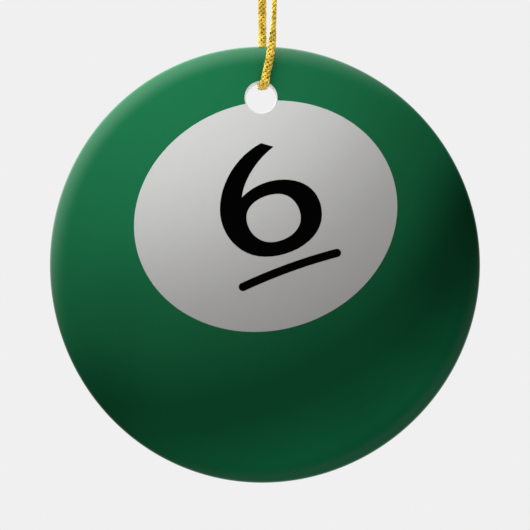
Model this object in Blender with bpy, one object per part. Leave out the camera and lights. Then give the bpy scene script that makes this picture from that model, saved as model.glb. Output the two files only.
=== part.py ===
"""A flat porcelain disc, printed as a green number 6 pool ball, that hangs on a loop of gold braided cord.

Metres, +Z up, the printed face towards -Y. The origin is the hang point, in the crotch of the cord loop
under its knot. The disc hangs below it and the cord's two strands pass in front of it and behind it.
"""
import math

import bmesh
import bpy
from mathutils import Matrix, Vector

MM = 0.001

# The disc: a standard round print blank.
DISC_DIAMETER = 73.0 * MM
DISC_THICKNESS = 4.0 * MM
FRONT_EDGE_WIDTH = 3.4 * MM
FRONT_EDGE_DEPTH = 1.5 * MM
BACK_EDGE_WIDTH = 1.8 * MM
BACK_EDGE_DEPTH = 1.2 * MM
HOLE_DIAMETER = 5.2 * MM
HOLE_EDGE_RADIUS = 0.2 * MM
HOLE_ABOVE_CENTRE = 27.9 * MM
HOLE_LEFT_OF_CENTRE = 0.55 * MM

# The print: two layers of tinted coat over the porcelain, the numeral on top of its spot.
PRINT_THICKNESS = 0.06 * MM
PRINT_GAP = 0.04 * MM
PRINT_SIDE_GAP = 0.05 * MM
BARE_RING = 0.2 * MM
SPOT_CENTRE = (0.3 * MM, 8.1 * MM)
SPOT_HALF_WIDTH = 22.3 * MM
SPOT_HALF_HEIGHT = 19.1 * MM
SPOT_TILT = math.radians(16.7)

# The cord and its loop.
CORD_DIAMETER = 1.4 * MM
CORD_GAP = 0.3 * MM
CORD_POINT_SPACING = 3.0 * MM
TIGHT_POINT_SPACING = 0.45 * MM
TIGHT_REACH = 3.2 * MM
LOOP_DROP = 75.0 * MM
CORD_UNDER_HOLE_TOP = 0.8 * MM
KNOT_HEIGHT = 5.4 * MM

# Heights of the joints along the cord, below the hang point.
SWING_DROP = 4.5 * MM
SWAY_DROP = 13.5 * MM
TWIST_DROP = 22.0 * MM

ROUND_SEGMENTS = 128
HOLE_SEGMENTS = 40
ARC_STEPS = 6
BEZIER_STEPS = 12

HOLE_RADIUS = HOLE_DIAMETER / 2
CORD_RADIUS = CORD_DIAMETER / 2
CORD_IN_HOLE = HOLE_RADIUS - CORD_UNDER_HOLE_TOP
HOLE_BELOW_CORD = math.sqrt(CORD_IN_HOLE**2 - HOLE_LEFT_OF_CENTRE**2)
DISC_PIVOT = Vector((0, 0, -LOOP_DROP))
DISC_CENTRE = DISC_PIVOT - Vector((0, 0, HOLE_BELOW_CORD + HOLE_ABOVE_CENTRE))
HOLE_CENTRE = DISC_CENTRE + Vector((-HOLE_LEFT_OF_CENTRE, 0, HOLE_ABOVE_CENTRE))

FRONT = -DISC_THICKNESS / 2
NUMERAL_FRONT = FRONT
NUMERAL_BACK = NUMERAL_FRONT + PRINT_THICKNESS
GROUND_FRONT = NUMERAL_BACK + PRINT_GAP
GROUND_BACK = GROUND_FRONT + PRINT_THICKNESS
PORCELAIN_FRONT = GROUND_BACK + PRINT_GAP
PORCELAIN_BACK = DISC_THICKNESS / 2
PRINT_STACK = PORCELAIN_FRONT - GROUND_FRONT

# The cord's route, in millimetres: down in front of the disc, through its hole and up behind it.
CORD_ROUTE = [
    (0.80, -0.10, -0.3), (0.92, -0.15, -4.5), (1.10, -0.30, -9.0), (1.28, -0.50, -13.5),
    (1.55, -0.85, -22.0), (1.85, -1.45, -35.0), (1.95, -2.05, -48.0), (1.78, -2.60, -58.0),
    (1.60, -2.85, -64.0), (1.33, -2.90, -67.7), (0.92, -2.90, -70.3), (0.62, -2.90, -72.4),
    (0.44, -2.90, -73.7), (0.31, -2.74, -74.4), (0.20, -2.30, -74.84), (0.10, -1.70, -75.0),
    (0.00, 0.00, -75.02), (-0.06, 1.70, -75.0), (-0.10, 2.30, -74.84), (-0.14, 2.74, -74.4),
    (-0.18, 2.90, -73.7), (-0.24, 2.90, -71.5), (-0.28, 2.90, -68.0), (-0.30, 2.85, -64.0),
    (-0.34, 2.60, -58.0), (-0.46, 2.05, -48.0), (-0.62, 1.45, -35.0), (-0.74, 0.85, -22.0),
    (-0.80, 0.50, -13.5), (-0.82, 0.30, -9.0), (-0.82, 0.15, -4.5), (-0.78, 0.10, -0.3),
]
FRONT_TAIL_ROUTE = [(0.80, -0.20, 5.7), (1.20, -0.40, 8.5), (2.10, -0.55, 11.8), (3.40, -0.40, 14.6)]
BACK_TAIL_ROUTE = [(-0.80, 0.20, 5.7), (-1.05, 0.30, 8.6), (-1.60, 0.25, 12.6), (-2.50, 0.00, 16.2)]

# The numeral's outline as Bezier stretches, in millimetres across and up from the disc's centre: each is a
# start, two handles and the next start. The counter is its inner outline.
SIX_OUTLINE = [
    ((-0.5, 20.4), (-4.7, 18.2), (-7.4, 13.6)),
    ((-7.4, 9.3), (-7.4, 5.2), (-4.3, 1.35)),
    ((0.2, 1.35), (4.8, 1.35), (9.7, 4.3)),
    ((9.7, 8.4), (9.7, 11.9), (7.3, 14.3)),
    ((3.4, 14.3), (0.2, 14.3), (-2.3, 12.8)),
    ((-3.7, 11.3), (-3.5, 14.2), (-1.0, 17.9)),
    ((1.6, 19.8), (0.9, 20.0), (0.2, 20.2)),
]
SIX_COUNTER = [
    ((-2.95, 8.0), (-2.95, 5.7), (-1.1, 3.8)),
    ((1.1, 3.8), (3.2, 3.8), (6.15, 5.3)),
    ((6.15, 7.8), (6.15, 9.8), (4.7, 11.9)),
    ((2.4, 11.9), (0.1, 11.9), (-2.95, 10.4)),
]
UNDERLINE_ENDS = ((-3.55, -3.7), (4.2, -0.1), (12.2, 2.0))
UNDERLINE_WIDTH = 1.4 * MM


def clear_scene():
    for thing in list(bpy.data.objects):
        bpy.data.objects.remove(thing)


def material(name, colour, roughness, metallic=0.0):
    """A plain material of one colour."""
    made = bpy.data.materials.new(name)
    made.use_nodes = True
    shader = made.node_tree.nodes["Principled BSDF"]
    shader.inputs["Base Color"].default_value = (*colour, 1.0)
    shader.inputs["Roughness"].default_value = roughness
    shader.inputs["Metallic"].default_value = metallic
    return made


def pivot(name, location, parent=None):
    """An empty on a joint's axis, which the pieces of its body hang on."""
    empty = bpy.data.objects.new(name, None)
    bpy.context.collection.objects.link(empty)
    return attach(empty, location, parent)


def world_place(thing):
    """Where an object stands, through all its parents. Nothing here is turned or scaled."""
    place = thing.location.copy()
    while thing.parent:
        thing = thing.parent
        place += thing.location
    return place


def attach(thing, location, parent):
    """Puts an object at a place in the world, under its parent."""
    thing.parent = parent
    thing.location = Vector(location) - (world_place(parent) if parent else Vector())
    return thing


def mesh_object(name, bm, finish):
    """Turns a bmesh into an object with smooth round faces and sharp corners."""
    bmesh.ops.recalc_face_normals(bm, faces=bm.faces)
    mesh = bpy.data.meshes.new(name)
    bm.to_mesh(mesh)
    bm.free()
    mesh.shade_smooth()
    mesh.set_sharp_from_angle(angle=math.radians(35))
    thing = bpy.data.objects.new(name, mesh)
    bpy.context.collection.objects.link(thing)
    if finish:
        mesh.materials.append(finish)
    return thing


def turned(name, profile, segments, finish):
    """Spins a closed profile of (radius, y) points about the Y axis."""
    bm = bmesh.new()
    ring = [bm.verts.new((radius, y, 0)) for radius, y in profile]
    edges = [bm.edges.new((ring[i - 1], ring[i])) for i in range(len(ring))]
    bmesh.ops.spin(
        bm, geom=edges, cent=(0, 0, 0), axis=(0, 1, 0), angle=2 * math.pi, steps=segments, use_duplicate=False
    )
    bmesh.ops.remove_doubles(bm, verts=bm.verts, dist=0.001 * MM)
    loose = [face for face in bm.faces if face.calc_area() < 1e-14]
    bmesh.ops.delete(bm, geom=loose, context="FACES")
    return mesh_object(name, bm, finish)


def plate(name, outline, back, front, finish):
    """A flat plate of an outline of (x, z) points, from y = back to y = front."""
    bm = bmesh.new()
    face = bm.faces.new([bm.verts.new((x, back, z)) for x, z in outline])
    grown = bmesh.ops.extrude_face_region(bm, geom=[face])
    moved = [item for item in grown["geom"] if isinstance(item, bmesh.types.BMVert)]
    bmesh.ops.translate(bm, verts=moved, vec=(0, front - back, 0))
    return mesh_object(name, bm, finish)


def cut(thing, cutter):
    """Cuts one object out of another, and leaves the cutter as a hidden guide."""
    cutter.hide_render = True
    cutter.display_type = "WIRE"
    boolean = thing.modifiers.new("cut_" + cutter.name, "BOOLEAN")
    boolean.operation = "DIFFERENCE"
    boolean.object = cutter


def arc(centre, half_sizes, start, end, steps=ARC_STEPS):
    """Points on an arc of a circle or an ellipse between two angles in degrees, both ends included."""
    turns = [math.radians(start + (end - start) * i / steps) for i in range(steps + 1)]
    across, along = half_sizes
    return [(centre[0] + across * math.cos(t), centre[1] + along * math.sin(t)) for t in turns]


def ellipse(centre, half_width, half_height, tilt, points):
    outline = []
    for i in range(points):
        turn = 2 * math.pi * i / points
        across, up = half_width * math.cos(turn), half_height * math.sin(turn)
        outline.append((
            centre[0] + across * math.cos(tilt) - up * math.sin(tilt),
            centre[1] + across * math.sin(tilt) + up * math.cos(tilt),
        ))
    return outline


def bezier_outline(stretches):
    """A closed outline from Bezier stretches in millimetres."""
    outline = []
    for i, (start, handle_a, handle_b) in enumerate(stretches):
        end = stretches[(i + 1) % len(stretches)][0]
        for step in range(BEZIER_STEPS):
            t = step / BEZIER_STEPS
            weights = ((1 - t) ** 3, 3 * t * (1 - t) ** 2, 3 * t * t * (1 - t), t**3)
            knots = (start, handle_a, handle_b, end)
            outline.append(tuple(
                MM * sum(weight * knot[axis] for weight, knot in zip(weights, knots)) for axis in (0, 1)
            ))
    return outline


def bar_outline(ends, width):
    """A gently arched bar with round ends, along a curve of a start, a handle and an end in millimetres."""
    middle, sides = [], []
    for step in range(BEZIER_STEPS + 1):
        t = step / BEZIER_STEPS
        weights = ((1 - t) ** 2, 2 * t * (1 - t), t * t)
        middle.append(Vector(tuple(MM * sum(w * p[a] for w, p in zip(weights, ends)) for a in (0, 1))))
    for i, point in enumerate(middle):
        along = (middle[min(i + 1, len(middle) - 1)] - middle[max(i - 1, 0)]).normalized()
        sides.append((point, Vector((-along.y, along.x)) * width / 2))
    outline = [point + side for point, side in sides] + [point - side for point, side in reversed(sides)]
    for point, side in (sides[-1], (sides[0][0], -sides[0][1])):
        start = math.degrees(math.atan2(side.y, side.x))
        round_end = [Vector(p) for p in arc(point, (width / 2,) * 2, start, start - 180, 2 * ARC_STEPS)][1:-1]
        place = len(sides) if side is sides[-1][1] else len(outline)
        outline[place:place] = round_end
    return [tuple(point) for point in outline]


def smooth_route(points, fine=16):
    """Points of a smooth curve through a route's own points, closely spaced, in metres."""
    knots = [Vector(p) * MM for p in points]
    knots = [2 * knots[0] - knots[1]] + knots + [2 * knots[-1] - knots[-2]]
    line = []
    for a, b, c, d in zip(knots, knots[1:], knots[2:], knots[3:]):
        ta = 0.0
        tb = ta + (b - a).length ** 0.5
        tc = tb + (c - b).length ** 0.5
        td = tc + (d - c).length ** 0.5
        for step in range(fine):
            t = tb + (tc - tb) * step / fine
            ab = a.lerp(b, (t - ta) / (tb - ta))
            bc = b.lerp(c, (t - tb) / (tc - tb))
            cd = c.lerp(d, (t - tc) / (td - tc))
            abc = ab.lerp(bc, (t - ta) / (tc - ta))
            bcd = bc.lerp(cd, (t - tb) / (td - tb))
            line.append(abc.lerp(bcd, (t - tb) / (tc - tb)))
    return line + [knots[-2]]


def between_heights(line, top, bottom):
    """The stretch of a strand's line from one height down to another, its ends cut to the exact heights."""
    if line[0].z < line[-1].z:
        line = line[::-1]
    stretch = []
    for a, b in zip(line, line[1:]):
        if bottom < a.z < top:
            stretch.append(a)
        for height in (top, bottom):
            if a.z > height >= b.z:
                stretch.append(a.lerp(b, (a.z - height) / (a.z - b.z)))
    return stretch


def spaced(line):
    """A line's points thinned to the spacing that the cord needs, closer where it bends through the hole."""
    kept = [line[0]]
    for point in line[1:-1]:
        near_hole = (point - DISC_PIVOT).length < TIGHT_REACH + CORD_DIAMETER
        spacing = TIGHT_POINT_SPACING if near_hole else CORD_POINT_SPACING
        if (point - kept[-1]).length >= spacing and (point - line[-1]).length >= spacing / 2:
            kept.append(point)
    return kept + [line[-1]]


def cord(name, line, parent, finish):
    """A length of cord: a capped tube along a line of points in the world."""
    curve = bpy.data.curves.new(name, "CURVE")
    curve.dimensions = "3D"
    curve.bevel_depth = CORD_RADIUS
    curve.bevel_resolution = 2
    curve.render_resolution_u = 0
    curve.use_fill_caps = True
    curve.materials.append(finish)
    points = spaced(line)
    place = world_place(parent)
    spline = curve.splines.new("POLY")
    spline.points.add(len(points) - 1)
    for slot, point in zip(spline.points, points):
        slot.co = (*(point - place), 1.0)
    tube = bpy.data.objects.new(name, curve)
    bpy.context.collection.objects.link(tube)
    return attach(tube, place, parent)


def porcelain_disc(parent, finish):
    """The blank: a disc with round edges and one round-edged hole near its top."""
    rim = DISC_DIAMETER / 2 - PRINT_STACK
    front, back = (FRONT_EDGE_WIDTH, FRONT_EDGE_DEPTH), (BACK_EDGE_WIDTH, BACK_EDGE_DEPTH)
    profile = [(0, PORCELAIN_BACK)]
    profile += arc((rim - back[0], PORCELAIN_BACK - back[1]), back, 90, 0)
    profile += arc((rim - front[0], PORCELAIN_FRONT + front[1]), front, 0, -90)
    profile += [(0, PORCELAIN_FRONT)]
    disc = turned("porcelain_disc", profile, ROUND_SEGMENTS, finish)
    attach(disc, DISC_CENTRE, parent)
    cut(disc, hole_cutter("hole_cutter", HOLE_RADIUS, HOLE_EDGE_RADIUS, parent))
    return disc


def hole_cutter(name, radius, flare, parent):
    """A pin for cutting the cord's hole. A flare rounds the hole's edges over at both faces."""
    past = DISC_THICKNESS
    overlap = 0.01 * MM
    sizes = (flare, flare)
    front = arc((radius + flare, PORCELAIN_FRONT + flare - overlap), sizes, -90, -180) if flare else []
    back = arc((radius + flare, PORCELAIN_BACK - flare + overlap), sizes, 180, 90) if flare else []
    reach = radius + flare
    profile = [(0, -past), (reach, -past)] + front + back + [(reach, past), (0, past)]
    return attach(turned(name, profile, HOLE_SEGMENTS, None), HOLE_CENTRE, parent)


def green_print(parent, finish):
    """The green field: a coat over the front and round its edge, with the spot's window in it."""
    outside = (FRONT_EDGE_WIDTH + PRINT_STACK, FRONT_EDGE_DEPTH + PRINT_STACK)
    inside = tuple(size - PRINT_THICKNESS for size in outside)
    centre = (DISC_DIAMETER / 2 - outside[0], PORCELAIN_FRONT + FRONT_EDGE_DEPTH)
    profile = arc(centre, outside, 0, -90) + [(0, GROUND_FRONT), (0, GROUND_BACK)]
    profile += arc(centre, inside, -90, 0)
    coat = turned("green_print", profile, ROUND_SEGMENTS, finish)
    attach(coat, DISC_CENTRE, parent)
    window = ellipse(
        SPOT_CENTRE, SPOT_HALF_WIDTH + PRINT_SIDE_GAP, SPOT_HALF_HEIGHT + PRINT_SIDE_GAP, SPOT_TILT,
        ROUND_SEGMENTS,
    )
    cutter = plate("window_cutter", window, PORCELAIN_BACK, 2 * FRONT, None)
    cut(coat, attach(cutter, DISC_CENTRE, parent))
    cut(coat, hole_cutter("green_hole_cutter", HOLE_RADIUS + BARE_RING, 0, parent))


def number_spot(parent, finish):
    """The pale oval that carries the number. The hole's ring of bare porcelain bites into its top."""
    outline = ellipse(SPOT_CENTRE, SPOT_HALF_WIDTH, SPOT_HALF_HEIGHT, SPOT_TILT, ROUND_SEGMENTS)
    spot = attach(plate("number_spot", outline, GROUND_BACK, GROUND_FRONT, finish), DISC_CENTRE, parent)
    cut(spot, hole_cutter("spot_hole_cutter", HOLE_RADIUS + BARE_RING, 0, parent))


def numeral(parent, finish):
    """The number six and the bar under it that says which way up it is read."""
    six = plate("numeral_six", bezier_outline(SIX_OUTLINE), NUMERAL_BACK, NUMERAL_FRONT, finish)
    counter = plate("counter_cutter", bezier_outline(SIX_COUNTER), PORCELAIN_BACK, 2 * FRONT, None)
    cut(attach(six, DISC_CENTRE, parent), attach(counter, DISC_CENTRE, parent))
    outline = bar_outline(UNDERLINE_ENDS, UNDERLINE_WIDTH)
    bar = plate("numeral_underline", outline, NUMERAL_BACK, NUMERAL_FRONT, finish)
    attach(bar, DISC_CENTRE, parent)


def knot(parent, finish):
    """The overhand knot that closes the loop: a core that two tilted turns of cord wrap."""
    bm = bmesh.new()
    middle = Vector((0, 0, KNOT_HEIGHT / 2))
    shape = Matrix.Diagonal((1.9 * MM, 1.5 * MM, KNOT_HEIGHT / 2 - 0.1 * MM, 1.0))
    bmesh.ops.create_uvsphere(
        bm, u_segments=20, v_segments=12, radius=1.0, matrix=Matrix.Translation(middle) @ shape
    )
    core = attach(mesh_object("knot", bm, finish), (0, 0, 0), parent)
    for side, tilt in (("lower", 24), ("upper", -24)):
        lift = 0.7 * MM * (1 if side == "upper" else -1)
        ring = turned(side + "_turn", arc((1.55 * MM, 0), (1.05 * MM, 1.05 * MM), 0, 330, 11), 24, finish)
        stand = Matrix.Rotation(math.radians(90), 4, "X")
        lean = Matrix.Rotation(math.radians(tilt), 4, "Y")
        ring.data.transform(Matrix.Translation(middle + Vector((0, 0, lift))) @ lean @ stand)
        attach(ring, (0, 0, 0), parent)
        ring.hide_render = True
        ring.display_type = "WIRE"
        union = core.modifiers.new("join_" + side, "BOOLEAN")
        union.operation = "UNION"
        union.object = ring


def build():
    clear_scene()
    porcelain = material("white_porcelain", (0.86, 0.87, 0.86), 0.08)
    green = material("green_coat", (0.012, 0.14, 0.065), 0.12)
    pale = material("pale_coat", (0.48, 0.50, 0.48), 0.12)
    black = material("black_coat", (0.004, 0.004, 0.004), 0.12)
    gold = material("gold_cord", (0.70, 0.46, 0.09), 0.35, 0.8)

    top = pivot("hang_point", (0, 0, 0))
    neck = pivot("swing_pivot", (0, 0, -SWING_DROP), top)
    middle = pivot("sway_pivot", (0, 0, -SWAY_DROP), neck)
    sling = pivot("twist_axis", (0, 0, -TWIST_DROP), middle)
    disc = pivot("disc_pivot", DISC_PIVOT, sling)

    porcelain_disc(disc, porcelain)
    green_print(disc, green)
    number_spot(disc, pale)
    numeral(disc, black)

    knot(top, gold)
    cord("cord_tail_front", smooth_route(FRONT_TAIL_ROUTE), top, gold)
    cord("cord_tail_back", smooth_route(BACK_TAIL_ROUTE), top, gold)
    line = smooth_route(CORD_ROUTE)
    lowest = min(range(len(line)), key=lambda i: line[i].z)
    half_gap = CORD_GAP / 2
    levels = [
        ("top", top, 0.0, -SWING_DROP),
        ("neck", neck, -SWING_DROP, -SWAY_DROP),
        ("middle", middle, -SWAY_DROP, -TWIST_DROP),
    ]
    for side, strand in (("front", line[:lowest]), ("back", line[lowest:])):
        for level, body, high, low in levels:
            stretch = between_heights(strand, high - half_gap, low + half_gap)
            cord(f"{side}_strand_{level}", stretch, body, gold)
    high, low = -TWIST_DROP - half_gap, line[lowest].z
    down, up = (between_heights(strand, high, low) for strand in (line[: lowest + 1], line[lowest:]))
    cord("cord_through_hole", down + up[::-1][1:], sling, gold)


build()
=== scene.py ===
"""Looks for the number 6 pool-ball disc: glazed porcelain, its print and the gold braided cord it hangs on.

Metres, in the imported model's frame: +Z up, the printed face towards -Y, the origin in the crotch of the
cord's loop, under its knot.
"""
import math

import bmesh
import bpy
import numpy as np
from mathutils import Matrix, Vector


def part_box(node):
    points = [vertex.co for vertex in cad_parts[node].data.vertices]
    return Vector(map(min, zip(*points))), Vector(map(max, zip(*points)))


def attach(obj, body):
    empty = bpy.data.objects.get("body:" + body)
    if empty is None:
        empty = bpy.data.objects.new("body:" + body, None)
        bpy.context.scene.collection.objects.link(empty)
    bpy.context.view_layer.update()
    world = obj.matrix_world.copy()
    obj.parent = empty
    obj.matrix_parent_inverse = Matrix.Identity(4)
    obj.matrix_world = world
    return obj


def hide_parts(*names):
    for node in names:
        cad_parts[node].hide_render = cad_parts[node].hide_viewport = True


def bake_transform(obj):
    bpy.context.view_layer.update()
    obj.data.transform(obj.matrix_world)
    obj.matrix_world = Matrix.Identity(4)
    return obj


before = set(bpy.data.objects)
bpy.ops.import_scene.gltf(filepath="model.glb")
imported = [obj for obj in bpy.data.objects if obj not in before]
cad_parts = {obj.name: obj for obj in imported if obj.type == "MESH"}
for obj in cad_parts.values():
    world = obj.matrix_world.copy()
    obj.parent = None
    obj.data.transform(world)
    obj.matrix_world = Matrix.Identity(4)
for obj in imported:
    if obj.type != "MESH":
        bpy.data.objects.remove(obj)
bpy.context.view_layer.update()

MM = 0.001

# ------------------------------------------------------------------ what the frame gives
DISC_LOW, DISC_HIGH = (Vector(corner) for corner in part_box("green_print"))
BACK_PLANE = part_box("porcelain_disc")[1][1]
FRONT_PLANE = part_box("numeral_six")[0][1]
DISC_RADIUS = (DISC_HIGH.x - DISC_LOW.x) / 2
DISC_X = (DISC_HIGH.x + DISC_LOW.x) / 2
DISC_Z = DISC_HIGH.z - DISC_RADIUS

# The hole and the edges, as the CAD model has them to within 0.2 mm.
HOLE_X, HOLE_Z = DISC_X - 0.52 * MM, DISC_Z + 28.06 * MM
HOLE_RADIUS = 2.57 * MM
HOLE_EDGE = 0.2 * MM
FRONT_EDGE = (3.5 * MM, 1.67 * MM)
BACK_EDGE = (1.8 * MM, 1.2 * MM)

# A flat band inside each rounded edge, and how finely each edge is rounded.
FLAT_BAND = 0.6 * MM
EDGE_STEPS = 28
BACK_EDGE_STEPS = 20
HOLE_EDGE_STEPS = 8

# The fired disc came out slightly warped: taller than wide and a little three-sided, as shares of its radius,
# with its outline a hair off the print's centre.
OUT_OF_ROUND = 0.0071
THREE_SIDED = 0.0033
DISC_SHIFT = (0.03 * MM, 0.05 * MM)

# The print lies almost flush: each coat stands this much proud of the one under it.
COAT_STEP = 0.015 * MM
GREEN_FRONT = FRONT_PLANE + 2 * COAT_STEP
GLAZE_FRONT = GREEN_FRONT + COAT_STEP
EQUATOR = GREEN_FRONT + FRONT_EDGE[1]

# The spot and the black ink are printed this far off the CAD model's places.
SPOT_NUDGE = (-0.03 * MM, 0.06 * MM)
INK_NUDGE = (0.0, 0.01 * MM)

# ------------------------------------------------------------------ the cord's route, in millimetres
CORD_ROUTE = [
    (0.80, -0.10, -0.3), (0.92, -0.15, -4.5), (1.10, -0.30, -9.0), (1.28, -0.50, -13.5),
    (1.55, -0.85, -22.0), (1.85, -1.45, -35.0), (1.95, -2.05, -48.0), (1.78, -2.60, -58.0),
    (1.60, -2.85, -64.0), (1.33, -2.90, -67.7), (0.92, -2.90, -70.3), (0.62, -2.90, -72.4),
    (0.44, -2.90, -73.7), (0.31, -2.74, -74.4), (0.20, -2.30, -74.84), (0.10, -1.70, -75.0),
    (0.00, 0.00, -75.02), (-0.06, 1.70, -75.0), (-0.10, 2.30, -74.84), (-0.14, 2.74, -74.4),
    (-0.18, 2.90, -73.7), (-0.24, 2.90, -71.5), (-0.28, 2.90, -68.0), (-0.30, 2.85, -64.0),
    (-0.34, 2.60, -58.0), (-0.46, 2.05, -48.0), (-0.62, 1.45, -35.0), (-0.74, 0.85, -22.0),
    (-0.80, 0.50, -13.5), (-0.82, 0.30, -9.0), (-0.82, 0.15, -4.5), (-0.78, 0.10, -0.3),
]
FRONT_TAIL_ROUTE = [(0.80, -0.20, 5.7), (1.20, -0.40, 8.5), (2.10, -0.55, 11.8), (3.40, -0.40, 14.6)]
BACK_TAIL_ROUTE = [(-0.80, 0.20, 5.7), (-1.05, 0.30, 8.6), (-1.60, 0.25, 12.6), (-2.50, 0.00, 16.2)]

STRAND_TOP = -0.3 * MM
KNOT_TOP = 5.7 * MM
NECK_END = -9.0 * MM
MIDDLE_END = -18.0 * MM

# Lengths of cord that hold only a strand up from the hole, and only a tail.
STRAND_SEARCH = 78 * MM
TAIL_SEARCH = 14 * MM

# Its flat section, and how it turns on its way down: degrees from the X axis at heights in millimetres.
CORD_HALF_WIDE = 0.77 * MM
CORD_HALF_THIN = 0.49 * MM
FRONT_TURNS = [
    (16, -40), (5.7, 90), (-0.3, 90), (-25, 20), (-50, -75), (-64, -90), (-68.5, -180), (-76, -180),
]
BACK_TURNS = [(18, 200), (5.7, 90), (-0.3, 90), (-30, 20), (-60, 0), (-76, 0)]

# The knot: how thick both strands are together, how far each runs from their middle line inside it and at its
# ends, and how far from its ends that middle line comes onto the Z axis.
KNOT_THICKNESS = 1.75 * MM
KNOT_HALF_APART = 0.50 * MM
KNOT_END_HALF_APART = 0.80 * MM
KNOT_EASE = 2.4 * MM
KNOT_POINTS = 160

# The braid: four yarns wind each way and pass over and under each other.
BRAID_PITCH = 2.85 * MM
CARRIERS = 4
RINGS_PER_PITCH = 16
YARN_HALF_WIDTH = 0.185 * MM
YARN_HALF_THICKNESS = 0.13 * MM
WEAVE_DEPTH = 0.12 * MM
SECTION_POINTS = 12

# The foil round each yarn: how often it wraps in each unit of length, and how far the wraps lean.
UV_LENGTH = 10 * MM
FOIL_WRAPS = 55.0
FOIL_LEAN = 2.0

# How uneven the braid is, each way times a value that wanders between -1 and 1 along each yarn.
ANGLE_WANDER = 0.30
WIDTH_WANDER = 0.22
HEIGHT_WANDER = 0.03 * MM

# How far the yarns spread at the cord's two ends, as a share, and over what length.
FRAY = 0.9
FRAYED_LENGTH = 1.6 * MM

# How the section gives way where the hole's top squeezes and bends it.
INSIDE_LIFT = 0.40 * MM
INSIDE_NARROWER = 0.06 * MM
INSIDE_THINNER = 0.10 * MM
LIP_WIDER = 0.08 * MM
LIP_DRIFT = 0.22 * MM

# ------------------------------------------------------------------ camera
CAMERA_DISTANCE = 280.0 * MM
VIEW_HALF_WIDTH = 44.66 * MM
CAMERA_X = DISC_X + 0.16 * MM
CAMERA_Z = DISC_Z - 0.01 * MM


def add_camera():
    data = bpy.data.cameras.new("camera")
    data.sensor_width = 36.0
    silhouette = CAMERA_DISTANCE + (EQUATOR - FRONT_PLANE)
    data.lens = data.sensor_width / 2 * silhouette / VIEW_HALF_WIDTH
    data.clip_start = 0.01
    data.clip_end = 20.0
    camera = bpy.data.objects.new("camera", data)
    bpy.context.scene.collection.objects.link(camera)
    camera.location = (CAMERA_X, FRONT_PLANE - CAMERA_DISTANCE, CAMERA_Z)
    camera.rotation_euler = (math.radians(90), 0, 0)
    bpy.context.scene.camera = camera


# ------------------------------------------------------------------ helpers
def linear(red, green, blue):
    """A display colour, 0 to 255, as the shader's linear values."""
    return tuple(
        v / 255 / 12.92 if v <= 10.31 else ((v / 255 + 0.055) / 1.055) ** 2.4 for v in (red, green, blue)
    )


def mesh_piece(name, vertices, faces, finish, uvs=None, smooth=True):
    """A mesh object from arrays of points and faces, with one UV pair for each point if given."""
    mesh = bpy.data.meshes.new(name)
    mesh.from_pydata([tuple(v) for v in vertices], [], [tuple(f) for f in faces])
    mesh.validate()
    mesh.polygons.foreach_set("use_smooth", [smooth] * len(mesh.polygons))
    if uvs is not None:
        layer = mesh.uv_layers.new(name="along")
        corner_points = np.zeros(len(mesh.loops), np.int32)
        mesh.loops.foreach_get("vertex_index", corner_points)
        layer.data.foreach_set("uv", np.asarray(uvs, np.float32)[corner_points].ravel())
    mesh.materials.append(finish)
    piece = bpy.data.objects.new(name, mesh)
    bpy.context.scene.collection.objects.link(piece)
    return piece


# ------------------------------------------------------------------ materials
class Nodes:
    """A short way to build a material's node tree."""

    def __init__(self, name):
        self.material = bpy.data.materials.new(name)
        self.material.use_nodes = True
        self.tree = self.material.node_tree
        self.shader = self.tree.nodes["Principled BSDF"]

    def add(self, kind, **settings):
        node = self.tree.nodes.new("ShaderNode" + kind)
        for key, value in settings.items():
            setattr(node, key, value)
        return node

    def link(self, source, target):
        self.tree.links.new(source, target)

    def put(self, socket, value):
        """Sets a socket to a value, or links it to another node's output."""
        if isinstance(value, bpy.types.NodeSocket):
            self.link(value, socket)
        else:
            socket.default_value = value

    def maths(self, operation, a, b=0.0, clamp=False):
        node = self.add("Math", operation=operation, use_clamp=clamp)
        self.put(node.inputs[0], a)
        self.put(node.inputs[1], b)
        return node.outputs[0]

    def between(self, value, low, high, to_low=0.0, to_high=1.0):
        node = self.add("MapRange", interpolation_type="SMOOTHSTEP")
        for slot, item in zip(node.inputs, (value, low, high, to_low, to_high)):
            self.put(slot, item)
        return node.outputs[0]

    def distance(self, vector, point):
        node = self.add("VectorMath", operation="DISTANCE")
        self.put(node.inputs[0], vector)
        node.inputs[1].default_value = point
        return node.outputs["Value"]

    def noise(self, vector, scale, detail=2.0, roughness=0.5):
        node = self.add("TexNoise")
        self.put(node.inputs["Vector"], vector)
        node.inputs["Scale"].default_value = scale
        node.inputs["Detail"].default_value = detail
        node.inputs["Roughness"].default_value = roughness
        return node.outputs["Fac"]

    def ramp(self, value, stops):
        """A colour ramp through (position, linear colour) stops."""
        node = self.add("ValToRGB")
        elements = node.color_ramp.elements
        while len(elements) < len(stops):
            elements.new(0.5)
        for element, (position, colour) in zip(elements, stops):
            element.position = position
            element.color = (*colour, 1.0)
        self.put(node.inputs[0], value)
        return node.outputs[0]

    def scaled(self, colour, factor):
        """A colour times a grey value."""
        node = self.add("Mix", data_type="RGBA", blend_type="MULTIPLY")
        node.inputs["Factor"].default_value = 1.0
        self.put(node.inputs["A"], colour)
        self.put(node.inputs["B"], factor)
        return node.outputs["Result"]

    def bump(self, height, distance, strength=1.0):
        node = self.add("Bump")
        node.inputs["Strength"].default_value = strength
        node.inputs["Distance"].default_value = distance
        self.link(height, node.inputs["Height"])
        self.link(node.outputs["Normal"], self.shader.inputs["Normal"])

    def on_face(self):
        """Coordinates in the disc's radii from its centre, with the depth left out."""
        place = self.add("TexCoord").outputs["Object"]
        shift = self.add("VectorMath", operation="SUBTRACT")
        self.put(shift.inputs[0], place)
        shift.inputs[1].default_value = (DISC_X, 0, DISC_Z)
        flat = self.add("VectorMath", operation="MULTIPLY")
        self.put(flat.inputs[0], shift.outputs[0])
        flat.inputs[1].default_value = (1 / DISC_RADIUS, 0, 1 / DISC_RADIUS)
        return place, flat.outputs[0]


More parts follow.
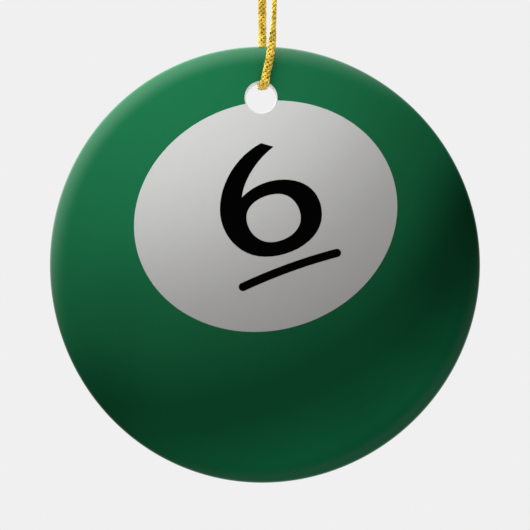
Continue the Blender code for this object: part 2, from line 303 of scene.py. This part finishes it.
def print_grain(nodes, place, strength=0.05):
    """The slight unevenness of ink under the glaze."""
    coarse = nodes.noise(place, 900.0, 3.0)
    fine = nodes.noise(place, 5200.0, 2.0)
    both = nodes.maths("ADD", nodes.maths("MULTIPLY", coarse, 0.4), nodes.maths("MULTIPLY", fine, 0.6))
    return nodes.maths("ADD", nodes.maths("MULTIPLY", both, strength), 1.0 - strength / 2)


def glaze(nodes, place, roughness=0.08):
    """The clear glaze over everything: hard, glossy and very slightly rippled."""
    nodes.shader.inputs["Roughness"].default_value = roughness
    nodes.shader.inputs["Specular IOR Level"].default_value = 0.3
    nodes.shader.inputs["IOR"].default_value = 1.5
    nodes.bump(nodes.noise(place, 420.0, 1.0), 0.004 * MM, 0.5)


# The artwork's painted light, in the disc's radii from its centre: display colours by distance from a point.
SHADE_REACH = 2.2
GREEN_FOCUS = (-0.6, 0.0, 1.1)
GREEN_STOPS = [
    (0.35, (35, 120, 77)), (0.95, (27, 103, 66)), (1.35, (20, 82, 50)), (1.75, (10, 59, 35)),
    (1.88, (10, 59, 35)), (2.12, (11, 75, 46)),
]
SPOT_FOCUS = (-0.8, 0.0, 1.6)
SPOT_STOPS = [
    (1.05, (213, 214, 212)), (1.25, (203, 205, 202)), (1.45, (189, 190, 188)), (1.65, (171, 171, 170)),
    (1.85, (154, 154, 153)), (2.15, (137, 136, 135)),
]

# Places on the green where the artwork's shade is deeper: centre, reach and depth.
GREEN_SHADES = [
    ((1.0, 0.0, 0.27), 0.36, 0.54), ((0.88, 0.0, 0.0), 0.34, 0.34), ((0.86, 0.0, -0.30), 0.50, 0.24),
    ((-0.78, 0.0, -0.6), 0.38, 0.24), ((0.49, 0.0, -0.70), 0.34, 0.10), ((-0.64, 0.0, -0.12), 0.28, 0.09),
]

# How much more of each colour the inks need under this light.
GREEN_GAIN = (0.92, 1.05, 1.03)
SPOT_GAIN = (1.06, 1.05, 1.05)
BLACK_INK = (0.0006, 0.0006, 0.0007)


def shaded_print(name, focus, stops, gain, shades=()):
    """Ink whose colour falls away from a point, as the artwork's painted light does."""
    nodes = Nodes(name)
    place, face = nodes.on_face()
    away = nodes.maths("DIVIDE", nodes.distance(face, focus), SHADE_REACH, clamp=True)
    colour = nodes.ramp(away, [
        (at / SHADE_REACH, tuple(g * v for g, v in zip(gain, linear(*shade)))) for at, shade in stops
    ])
    for centre, reach, depth in shades:
        shade = nodes.between(nodes.distance(face, centre), 0.02, reach, 1 - depth, 1.0)
        colour = nodes.scaled(colour, shade)
    colour = nodes.scaled(colour, print_grain(nodes, place))
    nodes.link(colour, nodes.shader.inputs["Base Color"])
    glaze(nodes, place)
    return nodes.material


def black_print():
    nodes = Nodes("black_ink")
    place = nodes.on_face()[0]
    ink = nodes.scaled((*BLACK_INK, 1.0), print_grain(nodes, place, 0.3))
    nodes.link(ink, nodes.shader.inputs["Base Color"])
    glaze(nodes, place)
    return nodes.material


def porcelain():
    nodes = Nodes("white_porcelain")
    place = nodes.on_face()[0]
    cloud = nodes.ramp(nodes.noise(place, 60.0, 4.0), [
        (0.3, (0.74, 0.745, 0.74)), (0.7, (0.765, 0.77, 0.76)),
    ])
    nodes.link(cloud, nodes.shader.inputs["Base Color"])
    glaze(nodes, place, 0.09)
    return nodes.material


def gold_thread():
    """Metallised foil wound round each yarn of the cord, with painted shade: darker towards the cord's core,
    where yarns pass under others and on their inner sides.
    """
    nodes = Nodes("gold_thread")
    along = nodes.add("UVMap", uv_map="along").outputs[0]
    parts = nodes.add("SeparateXYZ")
    nodes.link(along, parts.inputs[0])
    place = nodes.add("TexCoord").outputs["Object"]
    wraps = nodes.maths("MULTIPLY", parts.outputs[0], FOIL_WRAPS)
    leaning = nodes.maths("ADD", wraps, nodes.maths("MULTIPLY", parts.outputs[1], FOIL_LEAN))
    ridges = nodes.maths("SINE", nodes.maths("MULTIPLY", leaning, 2 * math.pi))
    # Random tone along the foil, partly real colour variation and partly painted glints: its brightest spots
    # stand in for the foil's sparkle.
    tone_and_glints = nodes.noise(place, 1900.0, 4.0, 0.65)
    colour = nodes.ramp(tone_and_glints, [
        (0.34, (0.44, 0.27, 0.012)), (0.5, (0.86, 0.59, 0.05)), (0.66, (1.0, 0.86, 0.24)),
    ])
    lift = nodes.add("Attribute", attribute_name="lift").outputs["Fac"]
    # Painted shade: the colour darkens by how far out each point lies, deepest where a yarn passes under
    # another, on its inner side and on the core.
    depth = nodes.ramp(nodes.between(lift, -0.8, 0.6), [
        (0.0, (0.46, 0.29, 0.12)), (0.5, (0.80, 0.70, 0.50)), (1.0, (1.0, 1.0, 1.0)),
    ])
    colour = nodes.scaled(colour, depth)
    patches = nodes.between(nodes.noise(place, 700.0, 2.0), 0.38, 0.56, 0.84, 1.08)
    colour = nodes.scaled(colour, patches)
    nodes.link(colour, nodes.shader.inputs["Base Color"])
    nodes.shader.inputs["Metallic"].default_value = 0.15
    nodes.shader.inputs["Roughness"].default_value = 0.42
    nodes.shader.inputs["Specular IOR Level"].default_value = 0.3
    nodes.bump(ridges, 0.012 * MM, 0.6)
    return nodes.material


# ------------------------------------------------------------------ the cord
def smooth_route(points, fine=16):
    """Points of a smooth curve through a route's own points, closely spaced, in metres."""
    knots = [Vector(p) * MM for p in points]
    knots = [2 * knots[0] - knots[1]] + knots + [2 * knots[-1] - knots[-2]]
    line = []
    for a, b, c, d in zip(knots, knots[1:], knots[2:], knots[3:]):
        ta = 0.0
        tb = ta + (b - a).length ** 0.5
        tc = tb + (c - b).length ** 0.5
        td = tc + (d - c).length ** 0.5
        for step in range(fine):
            t = tb + (tc - tb) * step / fine
            ab = a.lerp(b, (t - ta) / (tb - ta))
            bc = b.lerp(c, (t - tb) / (tc - tb))
            cd = c.lerp(d, (t - tc) / (td - tc))
            abc = ab.lerp(bc, (t - ta) / (tc - ta))
            bcd = bc.lerp(cd, (t - tb) / (td - tb))
            line.append(abc.lerp(bcd, (t - tb) / (tc - tb)))
    return np.array([tuple(p) for p in line + [knots[-2]]])


def arc_lengths(line):
    return np.r_[0.0, np.cumsum(np.linalg.norm(np.diff(line, axis=0), axis=1))]


def resampled(line, count):
    """The line at evenly spaced points, ends included."""
    run = arc_lengths(line)
    at = np.linspace(0, run[-1], count)
    return np.stack([np.interp(at, run, line[:, axis]) for axis in range(3)], axis=1)


def smoothstep(value, low, high):
    t = np.clip((value - low) / (high - low), 0.0, 1.0)
    return t * t * (3 - 2 * t)


def unit(vectors):
    return vectors / np.linalg.norm(vectors, axis=-1, keepdims=True)


def tightened(thickness, step=0.4 * MM, rounds=350, reach=12 * MM):
    """An overhand knot pulled tight: a line up the Z axis, -reach to reach, its turns held apart."""
    t = np.linspace(-2.3, 2.3, 120)
    line = np.stack([t**3 - 3 * t, 0.9 * (t**4 - 4 * t**2), 0.22 * (t**5 - 10 * t)], axis=1) * MM
    line = np.vstack([(0, 0, -reach), line, (0, 0, reach)])
    apart = math.ceil(1.6 * thickness / step)
    for _ in range(rounds):
        line = resampled(line, int(round(arc_lengths(line)[-1] / step)) + 1)
        for _ in range(3):
            line[1:-1] += 0.25 * (line[:-2] + line[2:] - 2 * line[1:-1])
        order = np.arange(len(line))
        far = np.abs(order[:, None] - order) > apart
        for _ in range(8):
            gap = line[:, None] - line[None]
            distance = np.linalg.norm(gap, axis=2)
            overlap = np.where(far & (distance < thickness), thickness - distance, 0.0)
            if not overlap.any():
                break
            push = (overlap / np.maximum(distance, 1e-9))[..., None] * gap
            share = np.maximum(np.sqrt((overlap > 0).sum(axis=1)), 1)[:, None]
            line[1:-1] += (0.5 * push.sum(axis=1) / share)[1:-1]
    return line


def carried(tangent, start, first):
    """A side direction carried along a line both ways from one of its points, without twist."""
    side = np.zeros_like(tangent)
    side[start] = unit(first - (first @ tangent[start]) * tangent[start])
    for run in (range(start + 1, len(tangent)), range(start - 1, -1, -1)):
        previous = start
        for i in run:
            side[i] = unit(side[previous] - (side[previous] @ tangent[i]) * tangent[i])
            previous = i
    return side


def knot_strands():
    """The two strands up through the knot, front one first, and the way both are flat."""
    line = tightened(KNOT_THICKNESS)
    middle = (STRAND_TOP + KNOT_TOP) / 2
    line[:, 2] += middle
    core = np.abs(line[:, 0]) > 0.9 * MM
    line[:, 1] -= (line[core, 1].max() + line[core, 1].min()) / 2
    first = int(np.argmax(line[:, 2] > STRAND_TOP))
    last = len(line) - int(np.argmax(line[::-1, 2] < KNOT_TOP))
    line = resampled(line[first:last], KNOT_POINTS)
    run = arc_lengths(line)
    from_end = smoothstep(np.minimum(run, run[-1] - run), 0, KNOT_EASE)
    line[:, :2] *= from_end[:, None]
    foot = np.subtract(CORD_ROUTE[0], CORD_ROUTE[-1])
    head = np.subtract(FRONT_TAIL_ROUTE[0], BACK_TAIL_ROUTE[0])
    tangent = unit(np.gradient(line, axis=0))
    apart = carried(tangent, 0, foot)
    over = np.cross(tangent, apart)
    miss = math.atan2(head @ over[-1], head @ apart[-1])
    turn = (miss * run / run[-1])[:, None]
    apart = np.cos(turn) * apart + np.sin(turn) * over
    half = (KNOT_END_HALF_APART + (KNOT_HALF_APART - KNOT_END_HALF_APART) * from_end)[:, None]
    return line + half * apart, line - half * apart, np.cross(tangent, apart)


def wander(run, seed):
    """A smooth uneven value along the cord, -1 to 1 and different for each seed: waves of three lengths."""
    turns = 2 * math.pi * run / MM
    waves = ((2.13, 2.4), (1.31, 5.1), (5.7, 3.7))
    return sum(np.sin(turns / length + phase * seed) for length, phase in waves) / len(waves)


def flat_side(line, turns):
    """The way a strand is flat along its line, from (height in mm, degrees from the X axis) pairs."""
    heights, angles = zip(*sorted(turns))
    angle = np.radians(np.interp(line[:, 2] / MM, heights, angles))
    return np.stack([np.cos(angle), np.sin(angle), 0 * angle], axis=1)


class Cord:
    """The whole cord from tail to tail as one line, with the shape of its section along it."""

    def __init__(self):
        front_knot, back_knot, knot_flat = knot_strands()
        route = smooth_route(CORD_ROUTE)[::-1]
        lowest = int(np.argmin(route[:, 2]))
        back_tail, front_tail = smooth_route(BACK_TAIL_ROUTE)[::-1], smooth_route(FRONT_TAIL_ROUTE)
        parts = [
            (back_tail, flat_side(back_tail, BACK_TURNS)),
            (back_knot[::-1][2:-2], knot_flat[::-1][2:-2]),
            (route[:lowest], flat_side(route[:lowest], BACK_TURNS)),
            (route[lowest:], flat_side(route[lowest:], FRONT_TURNS)),
            (front_knot[2:-2], knot_flat[2:-2]),
            (front_tail, flat_side(front_tail, FRONT_TURNS)),
        ]
        line = np.vstack([points for points, _ in parts])
        flat = np.vstack([ways for _, ways in parts])
        same_way = np.sign(np.r_[1.0, np.sum(flat[1:] * flat[:-1], axis=1)])
        flat *= np.sign(np.cumprod(same_way))[:, None]
        count = int(round(arc_lengths(line)[-1] * RINGS_PER_PITCH / BRAID_PITCH)) + 1
        run = arc_lengths(line)
        at = np.linspace(0, run[-1], count)
        flat = np.stack([np.interp(at, run, flat[:, axis]) for axis in range(3)], axis=1)
        self.line = resampled(line, count)
        for _ in range(3):
            self.line[1:-1] += 0.25 * (self.line[:-2] + self.line[2:] - 2 * self.line[1:-1])
        self.run = arc_lengths(self.line)
        self.tangent = unit(np.gradient(self.line, axis=0))
        self.lowest = int(np.argmin(self.line[:, 2]))
        self.side = carried(self.tangent, self.lowest, np.array((1.0, 0.0, 0.0)))
        self.across = np.cross(self.tangent, self.side)
        self.turn = np.unwrap(np.arctan2(
            np.sum(flat * self.across, axis=1), np.sum(flat * self.side, axis=1)), period=math.pi)
        for _ in range(12):
            self.turn[1:-1] += 0.25 * (self.turn[:-2] + self.turn[2:] - 2 * self.turn[1:-1])
        self.shape_section()

    def shape_section(self):
        """Half sizes of the flat section along the cord and its shift, where the hole's top squeezes it."""
        depth, down = np.abs(self.line[:, 1]) / MM, -self.line[:, 2] / MM
        inside = (1 - smoothstep(depth, 1.8, 3.0)) * smoothstep(down, 70, 72)
        turning = smoothstep(depth, 1.8, 2.4) * smoothstep(down, 72.8, 74.2)
        drift = smoothstep(depth, 1.8, 2.6) * smoothstep(down, 69.5, 73.5)
        self.half_wide = CORD_HALF_WIDE + LIP_WIDER * turning - INSIDE_NARROWER * inside
        self.half_thin = CORD_HALF_THIN - INSIDE_THINNER * inside
        self.shift = np.outer(inside * INSIDE_LIFT, (0, 0, 1)) - np.outer(drift * LIP_DRIFT, (1, 0, 0))
        self.slack = 1 - inside
        from_end = np.minimum(self.run, self.run[-1] - self.run)
        self.loosen = 1 + FRAY * (1 - smoothstep(from_end, 0, FRAYED_LENGTH))

    def across_section(self, rows, wide, thin, turned):
        """A point of each ring's section and the way out there, at an angle from its flat side."""
        cos, sin = np.cos(self.turn[rows])[:, None], np.sin(self.turn[rows])[:, None]
        major = cos * self.side[rows] + sin * self.across[rows]
        minor = cos * self.across[rows] - sin * self.side[rows]
        along_major, along_minor = np.cos(turned)[:, None], np.sin(turned)[:, None]
        wide, thin = wide[:, None], thin[:, None]
        out = unit(major * along_major / wide + minor * along_minor / thin)
        return major * wide * along_major + minor * thin * along_minor, out

    def yarn(self, first, last, index, winding):
        """One yarn's surface points between two rings of the cord, and how far out each lies, -1 to 1, which
        the gold thread turns into painted shade.
        """
        rows = slice(first, last + 1)
        run = self.run[rows]
        seed = index + 0.37 * winding * CARRIERS
        angle = winding * 2 * math.pi * run / BRAID_PITCH + (index + 0.25) * 2 * math.pi / CARRIERS
        angle += ANGLE_WANDER * wander(run, seed)
        weave = winding * np.cos(2 * CARRIERS * math.pi * run / BRAID_PITCH)
        reach = YARN_HALF_THICKNESS + WEAVE_DEPTH
        wide = (self.half_wide[rows] - reach) * self.loosen[rows]
        thin = (self.half_thin[rows] - reach) * self.loosen[rows] ** 2
        offset, outward = self.across_section(rows, wide, thin, angle - self.turn[rows])
        loose = HEIGHT_WANDER * self.slack[rows] * wander(run, seed + 0.5)
        rise = (weave * WEAVE_DEPTH + loose)[:, None]
        centre = self.line[rows] + self.shift[rows] + offset + outward * rise
        along = unit(np.gradient(centre, axis=0))
        beside = unit(np.cross(along, outward))
        outward = np.cross(beside, along)
        around = np.arange(SECTION_POINTS) * 2 * math.pi / SECTION_POINTS
        lobes = 1 + 0.12 * np.cos(6 * around)
        across = YARN_HALF_WIDTH * np.sign(np.cos(around)) * np.abs(np.cos(around)) ** 0.8
        up = YARN_HALF_THICKNESS * np.sign(np.sin(around)) * np.abs(np.sin(around)) ** 0.8 * lobes
        spread = 1 + WIDTH_WANDER * wander(run, seed + 0.25)
        across = across[None] * spread[:, None]
        points = centre[:, None] + across[..., None] * beside[:, None] + up[:, None] * outward[:, None]
        # How far out each point lies, from the weave and the side of the yarn's section; the gold thread
        # darkens low points as painted shade.
        lift = 0.5 * weave[:, None] + 0.5 * np.sin(around)[None]
        return points, lift

    def core(self, first, last):
        """The core that shows between the yarns, set to the lowest lift so that the gold thread gives it its
        deepest painted shade.
        """
        rows = slice(first, last + 1)
        reach = 2 * YARN_HALF_THICKNESS + WEAVE_DEPTH
        around = np.arange(SECTION_POINTS) * 2 * math.pi / SECTION_POINTS
        wide, thin = self.half_wide[rows] - reach, np.maximum(self.half_thin[rows] - reach, 0.07 * MM)
        offsets = [
            self.across_section(rows, wide, thin, np.full(len(wide), angle))[0] for angle in around
        ]
        points = (self.line[rows] + self.shift[rows])[:, None] + np.stack(offsets, axis=1)
        # Lowest lift all over: the core takes the darkest painted shade.
        return points, np.full(points.shape[:2], -1.0)

    def nearest(self, height, begin, end):
        """The ring at a height, searched between two rings."""
        return begin + int(np.argmin(np.abs(self.line[begin:end, 2] - height)))


def braided(name, cord, spans, finish):
    """One piece of the cord: the core and every yarn along each span of rings, with closed ends."""
    vertices, faces, uvs, lifts = [], [], [], []
    base = 0
    for first, last in spans:
        run = cord.run[first:last + 1]
        threads = [cord.core(first, last)]
        threads += [cord.yarn(first, last, i, winding) for winding in (1, -1) for i in range(CARRIERS)]
        for points, lift in threads:
            rings, around = points.shape[:2]
            vertices.append(points.reshape(-1, 3))
            lifts.append(lift.ravel())
            share = np.arange(around) / around
            uvs.append(np.stack([np.repeat(run / UV_LENGTH, around), np.tile(share, rings)], axis=1))
            grid = base + np.arange(rings * around).reshape(rings, around)
            beside = np.roll(grid, -1, axis=1)
            quads = np.stack([grid[:-1], grid[1:], beside[1:], beside[:-1]], axis=-1).reshape(-1, 4)
            faces.extend(quads.tolist())
            faces.append(grid[0].tolist())
            faces.append(grid[-1][::-1].tolist())
            base += rings * around
    piece = mesh_piece(name, np.vstack(vertices), faces, finish, np.vstack(uvs))
    # The lift attribute drives the gold thread's painted shade.
    lift = piece.data.attributes.new("lift", "FLOAT", "POINT")
    lift.data.foreach_set("value", np.concatenate(lifts).astype(np.float32))
    return piece


def make_cord(finish):
    cord = Cord()
    total = len(cord.line)
    below = cord.lowest
    strand = round(STRAND_SEARCH / cord.run[1])
    back = {STRAND_TOP: cord.nearest(STRAND_TOP, below - strand, below)}
    front = {STRAND_TOP: cord.nearest(STRAND_TOP, below, below + strand)}
    for level in (NECK_END, MIDDLE_END):
        back[level] = cord.nearest(level, back[STRAND_TOP], below)
        front[level] = cord.nearest(level, below, front[STRAND_TOP])
    tail = round(TAIL_SEARCH / cord.run[1])
    back[KNOT_TOP] = cord.nearest(KNOT_TOP, 0, tail)
    front[KNOT_TOP] = cord.nearest(KNOT_TOP, total - tail, total)

    def both(high, low):
        return [(back[high], back[low]), (front[low], front[high])]

    top = braided("cord_neck", cord, both(STRAND_TOP, NECK_END), finish)
    middle = braided("cord_middle", cord, both(NECK_END, MIDDLE_END), finish)
    sling = braided("cord_sling", cord, [(back[MIDDLE_END], front[MIDDLE_END])], finish)
    tie = braided("cord_knot", cord, both(KNOT_TOP, STRAND_TOP), finish)
    tails = [
        braided("cord_tail_front_braid", cord, [(front[KNOT_TOP], total - 1)], finish),
        braided("cord_tail_back_braid", cord, [(0, back[KNOT_TOP])], finish),
    ]
    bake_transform(top)
    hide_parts("front_strand_top", "back_strand_top", "front_strand_neck", "back_strand_neck")
    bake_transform(middle)
    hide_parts("front_strand_middle", "back_strand_middle")
    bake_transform(sling)
    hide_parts("cord_through_hole")
    for piece, node in ((tie, "knot"), (tails[0], "cord_tail_front"), (tails[1], "cord_tail_back")):
        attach(piece, "loop_top")
        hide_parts(node)


# ------------------------------------------------------------------ the disc
def pierced(name, outer, hole, finish, segments=256, hole_segments=96):
    """A closed round body with a round hole off its centre. Each profile runs from front to back."""
    bm = bmesh.new()

    def rings(profile, centre_x, centre_z, count, flip, warped):
        loops = []
        for radius, y in profile:
            loop = []
            for i in range(count):
                angle = 2 * math.pi * i / count
                bulge = warped * (THREE_SIDED * math.cos(3 * angle) - OUT_OF_ROUND * math.cos(2 * angle))
                out = radius * (1 + bulge)
                loop.append(bm.verts.new((
                    centre_x + out * math.cos(angle), y, centre_z + out * math.sin(angle),
                )))
            loops.append(loop)
        for upper, lower in zip(loops, loops[1:]):
            for i in range(count):
                j = (i + 1) % count
                quad = (upper[i], upper[j], lower[j], lower[i])
                bm.faces.new(quad[::-1] if flip else quad)
        return loops[0], loops[-1]

    outside = rings(outer, DISC_X + DISC_SHIFT[0], DISC_Z + DISC_SHIFT[1], segments, False, 1)
    inside = rings(hole, HOLE_X, HOLE_Z, hole_segments, True, 0)
    for far, near in zip(outside, inside):
        edges = [bm.edges.get((loop[i - 1], loop[i])) for loop in (far, near) for i in range(len(loop))]
        bmesh.ops.triangle_fill(bm, use_beauty=True, use_dissolve=False, edges=edges, normal=(0, 1, 0))
    bmesh.ops.recalc_face_normals(bm, faces=bm.faces)
    mesh = bpy.data.meshes.new(name)
    bm.to_mesh(mesh)
    bm.free()
    mesh.shade_smooth()
    mesh.set_sharp_from_angle(angle=math.radians(40))
    mesh.materials.append(finish)
    piece = bpy.data.objects.new(name, mesh)
    bpy.context.scene.collection.objects.link(piece)
    return piece


def elliptic(centre, half_sizes, start, end, steps):
    """Points on an arc between two angles in degrees, both ends included."""
    (x, y), (half_x, half_y) = centre, half_sizes
    turns = [math.radians(start + (end - start) * i / steps) for i in range(steps + 1)]
    return [(x + half_x * math.cos(turn), y + half_y * math.sin(turn)) for turn in turns]


def on_disc(piece, node):
    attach(piece, "disc")
    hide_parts(node)


def make_disc():
    rim = DISC_RADIUS - COAT_STEP
    front = (FRONT_EDGE[0] - COAT_STEP, FRONT_EDGE[1] - COAT_STEP)
    outer = [(rim - front[0] - FLAT_BAND, GLAZE_FRONT)]
    outer += elliptic((rim - front[0], EQUATOR), front, -90, 0, EDGE_STEPS)
    outer += elliptic((rim - BACK_EDGE[0], BACK_PLANE - BACK_EDGE[1]), BACK_EDGE, 0, 90, BACK_EDGE_STEPS)
    outer += [(rim - BACK_EDGE[0] - FLAT_BAND, BACK_PLANE)]
    lip = HOLE_RADIUS + HOLE_EDGE
    edge = (HOLE_EDGE, HOLE_EDGE)
    hole = [(lip + FLAT_BAND, GLAZE_FRONT)]
    hole += elliptic((lip, GLAZE_FRONT + HOLE_EDGE), edge, -90, -180, HOLE_EDGE_STEPS)
    hole += elliptic((lip, BACK_PLANE - HOLE_EDGE), edge, 180, 90, HOLE_EDGE_STEPS)
    hole += [(lip + FLAT_BAND, BACK_PLANE)]
    on_disc(pierced("porcelain_body", outer, hole, porcelain()), "porcelain_disc")


def make_green():
    under = COAT_STEP * 0.9
    inner = (FRONT_EDGE[0] - under, FRONT_EDGE[1] - under)
    centre = (DISC_RADIUS - FRONT_EDGE[0], EQUATOR)
    outer = [(centre[0] - FLAT_BAND, GREEN_FRONT)]
    outer += elliptic(centre, FRONT_EDGE, -90, 0, EDGE_STEPS)
    outer += elliptic(centre, inner, 0, -90, EDGE_STEPS)
    outer += [(centre[0] - FLAT_BAND, GREEN_FRONT + under)]
    lip = HOLE_RADIUS + HOLE_EDGE
    hole = [(lip + FLAT_BAND, GREEN_FRONT), (lip, GREEN_FRONT), (lip, GREEN_FRONT + under)]
    hole += [(lip + FLAT_BAND, GREEN_FRONT + under)]
    finish = shaded_print("green_ink", GREEN_FOCUS, GREEN_STOPS, GREEN_GAIN, GREEN_SHADES)
    on_disc(pierced("green_field", outer, hole, finish), "green_print")


def flush_copy(name, node, front, finish, nudge):
    """A CAD print node brought down flush, its front plane at the given depth and a hair out of place."""
    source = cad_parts[node]
    mesh = source.data.copy()
    mesh.name = name
    low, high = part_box(node)
    middle = (low[1] + high[1]) / 2
    for vertex in mesh.vertices:
        vertex.co.y = front if vertex.co.y < middle else front + 1.4 * COAT_STEP
        vertex.co.x += nudge[0]
        vertex.co.z += nudge[1]
    mesh.materials.clear()
    mesh.materials.append(finish)
    mesh.polygons.foreach_set("use_smooth", [False] * len(mesh.polygons))
    piece = bpy.data.objects.new(name, mesh)
    bpy.context.scene.collection.objects.link(piece)
    on_disc(piece, node)
    return piece


def cut_to_hole(piece):
    """Brings the print's notch round the hole onto the hole's own lip."""
    centre, lip = Vector((HOLE_X, HOLE_Z)), HOLE_RADIUS + HOLE_EDGE
    for vertex in piece.data.vertices:
        away = Vector((vertex.co.x, vertex.co.z)) - centre
        if away.length < lip + 0.35 * MM:
            place = centre + away.normalized() * lip
            vertex.co.x, vertex.co.z = place


# ------------------------------------------------------------------ studio
BACKDROP = (0.871, 0.871, 0.871)
FLOOR_COLOUR = (0.43, 0.43, 0.43)
FLOOR_RADIUS = 0.3
FLOOR_HEIGHT = -0.25
KEY_STRENGTH = 2.7
KEY_DIRECTION = (-0.545, 0, 0.839)


def add_studio():
    """Soft light from the world, by direction, with its own strength for diffuse rays; a plain backdrop."""
    world = bpy.data.worlds.new("studio")
    bpy.context.scene.world = world
    world.use_nodes = True
    tree = world.node_tree
    tree.nodes.clear()

    def add(kind, **settings):
        node = tree.nodes.new("ShaderNode" + kind)
        for key, value in settings.items():
            setattr(node, key, value)
        return node

    def along(direction):
        node = add("VectorMath", operation="DOT_PRODUCT")
        tree.links.new(coordinates.outputs["Generated"], node.inputs[0])
        node.inputs[1].default_value = direction
        return node.outputs["Value"]

    def glow(value, low, high, to_low, to_high):
        node = add("MapRange", interpolation_type="SMOOTHSTEP")
        tree.links.new(value, node.inputs[0])
        for slot, number in zip(list(node.inputs)[1:5], (low, high, to_low, to_high)):
            slot.default_value = number
        return node.outputs[0]

    def combine(operation, a, b):
        node = add("Math", operation=operation)
        tree.links.new(a, node.inputs[0])
        tree.links.new(b, node.inputs[1])
        return node.outputs[0]

    coordinates = add("TexCoord")
    path = add("LightPath")
    upper_left = along(KEY_DIRECTION)
    key = glow(upper_left, 0.15, 0.85, 0.0, KEY_STRENGTH)
    behind = glow(along((0, 1, 0)), 0.05, 0.5, 0.02, 0.8)
    behind = combine("MULTIPLY", behind, glow(path.outputs["Is Diffuse Ray"], 0.0, 1.0, 1.0, 0.15))
    fill = combine("MULTIPLY", path.outputs["Is Diffuse Ray"], glow(upper_left, -0.85, -0.20, 1.6, 0.25))
    low_sheen = glow(upper_left, -0.75, -0.35, 0.30, 0.0)
    light = combine("ADD", combine("ADD", key, behind), combine("ADD", fill, low_sheen))
    seen = add("Background")
    seen.inputs["Color"].default_value = (*BACKDROP, 1)
    cast = add("Background")
    cast.inputs["Color"].default_value = (1, 1, 1, 1)
    tree.links.new(light, cast.inputs["Strength"])
    mix = add("MixShader")
    tree.links.new(path.outputs["Is Camera Ray"], mix.inputs[0])
    tree.links.new(cast.outputs[0], mix.inputs[1])
    tree.links.new(seen.outputs[0], mix.inputs[2])
    output = add("OutputWorld")
    tree.links.new(mix.outputs[0], output.inputs["Surface"])
    bpy.context.scene.view_settings.view_transform = "Standard"
    bpy.context.scene.view_settings.look = "None"


def add_floor():
    nodes = Nodes("pale_floor")
    nodes.shader.inputs["Base Color"].default_value = (*FLOOR_COLOUR, 1)
    nodes.shader.inputs["Roughness"].default_value = 0.8
    sides = 128
    ring = []
    for i in range(sides):
        angle = 2 * math.pi * i / sides
        ring.append((FLOOR_RADIUS * math.cos(angle), FLOOR_RADIUS * math.sin(angle), FLOOR_HEIGHT))
    floor = mesh_piece("floor", ring, [range(sides)], nodes.material, smooth=False)
    floor.visible_glossy = False


def make_artwork():
    """The pale spot and the black numeral and bar on it."""
    pale = shaded_print("spot_ink", SPOT_FOCUS, SPOT_STOPS, SPOT_GAIN)
    spot = flush_copy("spot_field", "number_spot", FRONT_PLANE + COAT_STEP, pale, SPOT_NUDGE)
    cut_to_hole(spot)
    black = black_print()
    flush_copy("six_ink", "numeral_six", FRONT_PLANE, black, INK_NUDGE)
    flush_copy("underline_ink", "numeral_underline", FRONT_PLANE, black, INK_NUDGE)


add_camera()
make_cord(gold_thread())
make_disc()
make_green()
make_artwork()
add_studio()
add_floor()
